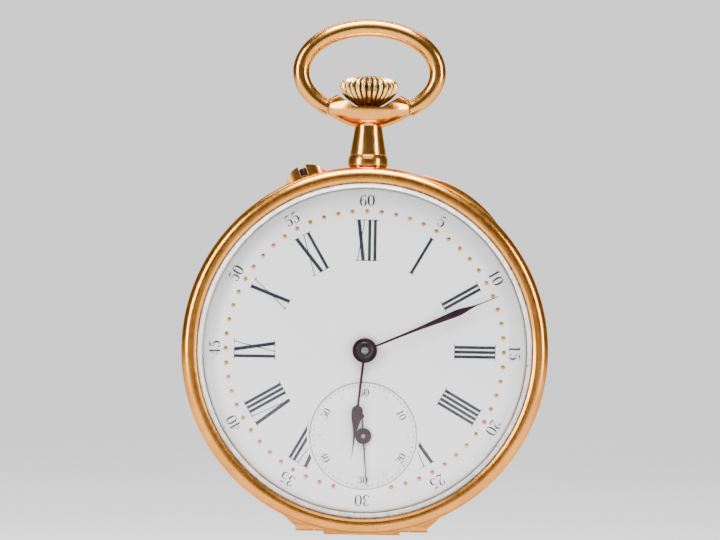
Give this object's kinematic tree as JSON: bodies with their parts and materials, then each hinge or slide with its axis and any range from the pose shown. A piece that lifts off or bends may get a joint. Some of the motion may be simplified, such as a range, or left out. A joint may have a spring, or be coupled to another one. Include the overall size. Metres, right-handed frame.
{
  "type": "pocket watch",
  "caption": "Open face pocket watch with a hinged bezel and back, a stem-wound lever movement, an enamel dial with sunk seconds, and a swinging bow.",
  "frame": {"origin": "on the hands' axis, at the flat of the back cover", "axes": "+Z to 12 o'clock and the bow, +Y out of the back cover, the dial faces -Y, +X to 3 o'clock"},
  "size_m": [0.048, 0.0124, 0.0677],
  "materials": {
    "case_gold": "polished yellow gold plate, worn at the edges",
    "dust_brass": "plain brass sheet",
    "pin_steel": "plain",
    "crown_gold": "fluted, tarnished in the grooves",
    "button_steel": "dark steel",
    "crystal_glass": "clear mineral glass",
    "enamel": "white fired enamel with grey specks",
    "copper": "copper",
    "blued_steel": "blued and polished",
    "gilt": "frosted gilding",
    "blued_screw": "blued and polished",
    "ruby": "polished ruby",
    "wheel_brass": "gilt, circular grain",
    "work_steel": "polished steel",
    "spring_steel": "tempered steel"
  },
  "bodies": {
    "case": {"case_middle": "case_gold", "back_hinge_pin": "pin_steel", "bezel_hinge_pin": "pin_steel", "dust_hinge_pin": "pin_steel", "pendant": "case_gold", "pendant_collar": "case_gold", "button_guard": "case_gold", "dial": "enamel", "seconds_dial": "enamel", "dial_feet": "copper", "main_plate": "gilt", "barrel_bridge": "gilt", "train_bridge": "gilt", "pallet_cock": "gilt", "balance_cock": "gilt", "bridge_screws": "blued_screw", "pallet_screw": "blued_screw", "case_screws": "blued_screw", "jewels": "ruby", "crown_wheel_screw": "blued_screw", "click_spring": "spring_steel", "hairspring_stud": "work_steel"},
    "glass_bezel": {"bezel": "case_gold", "crystal": "crystal_glass"},
    "back": {"back_cover": "case_gold"},
    "dust": {"dust_cover": "dust_brass"},
    "bow_ring": {"bow": "case_gold"},
    "winder": {"crown": "crown_gold", "winding_stem": "work_steel"},
    "pinion_sleeve": {"winding_pinion": "work_steel"},
    "clutch": {"clutch_wheel": "work_steel"},
    "transfer_wheel": {"crown_wheel": "work_steel"},
    "ratchet": {"ratchet_wheel": "work_steel", "ratchet_screw": "blued_screw", "barrel_arbor": "work_steel"},
    "click_lever": {"click": "work_steel"},
    "barrel": {"mainspring_barrel": "wheel_brass", "barrel_cover": "wheel_brass", "mainspring": "spring_steel"},
    "center": {"center_wheel": "wheel_brass", "cannon_pinion": "work_steel", "minute_hand": "blued_steel"},
    "third": {"third_wheel": "wheel_brass"},
    "seconds": {"fourth_wheel": "wheel_brass", "seconds_hand": "blued_steel"},
    "escape": {"escape_wheel": "work_steel"},
    "lever": {"pallet_fork": "work_steel", "pallet_stones": "ruby"},
    "balance": {"balance_wheel": "wheel_brass", "balance_screws": "wheel_brass", "roller": "work_steel", "hairspring": "spring_steel", "hairspring_collet": "wheel_brass"},
    "index": {"regulator": "work_steel"},
    "minute_work": {"minute_wheel": "wheel_brass"},
    "hour_work": {"hour_wheel": "wheel_brass", "hour_hand": "blued_steel"},
    "setting_work": {"setting_wheel": "work_steel"},
    "button": {"setting_button": "button_steel"},
    "yoke_arm": {"yoke": "work_steel"}
  },
  "joints": [
    {"name": "bezel_hinge", "type": "hinge", "parent": "case", "child": "glass_bezel", "pos_m": [0, -0.0075, -0.0236], "axis": [1, 0, 0], "range_deg": [0, 110]},
    {"name": "back_cover_hinge", "type": "hinge", "parent": "case", "child": "back", "pos_m": [0, -0.0029, -0.0234], "axis": [-1, 0, 0], "range_deg": [0, 95]},
    {"name": "dust_cover_hinge", "type": "hinge", "parent": "case", "child": "dust", "pos_m": [0, -0.0032, -0.0221], "axis": [-1, 0, 0], "range_deg": [0, 83]},
    {"name": "bow_swing", "type": "hinge", "parent": "case", "child": "bow_ring", "pos_m": [0, -0.0055, 0.0319], "axis": [1, 0, 0], "range_deg": [-135, 135]},
    {"name": "crown_turn", "type": "hinge", "parent": "case", "child": "winder", "pos_m": [0, -0.0055, 0.03], "axis": [0, 0, 1], "continuous": true},
    {"name": "winding_pinion_turn", "type": "hinge", "parent": "case", "child": "pinion_sleeve", "pos_m": [0, -0.0055, 0.017], "axis": [0, 0, 1], "continuous": true},
    {"name": "clutch_slide", "type": "slide", "parent": "winder", "child": "clutch", "axis": [0, 0, -1], "range_m": [0, 0.00058]},
    {"name": "crown_wheel_turn", "type": "hinge", "parent": "case", "child": "transfer_wheel", "pos_m": [0, -0.0024, 0.01342], "axis": [0, -1, 0], "continuous": true},
    {"name": "ratchet_turn", "type": "hinge", "parent": "case", "child": "ratchet", "pos_m": [-0.00664, -0.0024, 0.00465], "axis": [0, -1, 0], "continuous": true},
    {"name": "click_pivot", "type": "hinge", "parent": "case", "child": "click_lever", "pos_m": [-0.01481, -0.0024, 0.00762], "axis": [0, -1, 0], "range_deg": [0, 8], "stiffness_Nm_per_rad": 0.00002},
    {"name": "barrel_turn", "type": "hinge", "parent": "case", "child": "barrel", "pos_m": [-0.00664, -0.0045, 0.00465], "axis": [0, -1, 0], "continuous": true},
    {"name": "minute_hand_turn", "type": "hinge", "parent": "case", "child": "center", "pos_m": [0, -0.006, 0], "axis": [0, -1, 0], "continuous": true},
    {"name": "third_wheel_turn", "type": "hinge", "parent": "case", "child": "third", "pos_m": [0.00419, -0.0055, -0.0064], "axis": [0, -1, 0], "continuous": true},
    {"name": "seconds_turn", "type": "hinge", "parent": "case", "child": "seconds", "pos_m": [0, -0.0051, -0.0112], "axis": [0, -1, 0], "continuous": true},
    {"name": "escape_wheel_turn", "type": "hinge", "parent": "case", "child": "escape", "pos_m": [-0.00331, -0.006, -0.01613], "axis": [0, -1, 0], "continuous": true},
    {"name": "pallet_fork_swing", "type": "hinge", "parent": "case", "child": "lever", "pos_m": [-0.00579, -0.006, -0.01338], "axis": [0, -1, 0], "range_deg": [-5, 5]},
    {"name": "balance_swing", "type": "hinge", "parent": "case", "child": "balance", "pos_m": [-0.00861, -0.0044, -0.01027], "axis": [0, -1, 0], "range_deg": [-270, 270], "deforming": ["hairspring"]},
    {"name": "regulator_turn", "type": "hinge", "parent": "case", "child": "index", "pos_m": [-0.00861, -0.0024, -0.01027], "axis": [0, -1, 0], "range_deg": [-20, 20]},
    {"name": "minute_wheel_turn", "type": "hinge", "parent": "case", "child": "minute_work", "pos_m": [0, -0.0073, 0.004], "axis": [0, -1, 0], "continuous": true},
    {"name": "hour_hand_turn", "type": "hinge", "parent": "case", "child": "hour_work", "pos_m": [0, -0.008, 0], "axis": [0, -1, 0], "continuous": true},
    {"name": "setting_wheel_turn", "type": "hinge", "parent": "case", "child": "setting_work", "pos_m": [0, -0.0073, 0.0098], "axis": [0, -1, 0], "continuous": true},
    {"name": "setting_push", "type": "slide", "parent": "case", "child": "button", "axis": [0.342, 0, -0.9397], "range_m": [0, 0.001], "stiffness_N_per_m": 400},
    {"name": "yoke_swing", "type": "hinge", "parent": "case", "child": "yoke_arm", "pos_m": [0.0065, -0.0078, 0.0155], "axis": [0, -1, 0], "range_deg": [0, 5.2]}
  ],
  "couplings": [
    {"joint": "dust_cover_hinge", "follows": "back_cover_hinge", "ratio": 0.86},
    {"joint": "winding_pinion_turn", "follows": "crown_turn", "ratio": 1},
    {"joint": "crown_wheel_turn", "follows": "crown_turn", "ratio": 0.625},
    {"joint": "ratchet_turn", "follows": "crown_turn", "ratio": -0.35714},
    {"joint": "third_wheel_turn", "follows": "seconds_turn", "ratio": -0.13333},
    {"joint": "minute_hand_turn", "follows": "seconds_turn", "ratio": 0.016667},
    {"joint": "barrel_turn", "follows": "seconds_turn", "ratio": -0.0020833},
    {"joint": "escape_wheel_turn", "follows": "seconds_turn", "ratio": -10},
    {"joint": "minute_wheel_turn", "follows": "seconds_turn", "ratio": -0.0055556},
    {"joint": "hour_hand_turn", "follows": "seconds_turn", "ratio": 0.0013889},
    {"joint": "setting_wheel_turn", "follows": "seconds_turn", "ratio": 0.0059524},
    {"joint": "clutch_slide", "follows": "setting_push", "ratio": 0.57},
    {"joint": "yoke_swing", "follows": "setting_push", "rad_per_m": 86.5}
  ]
}
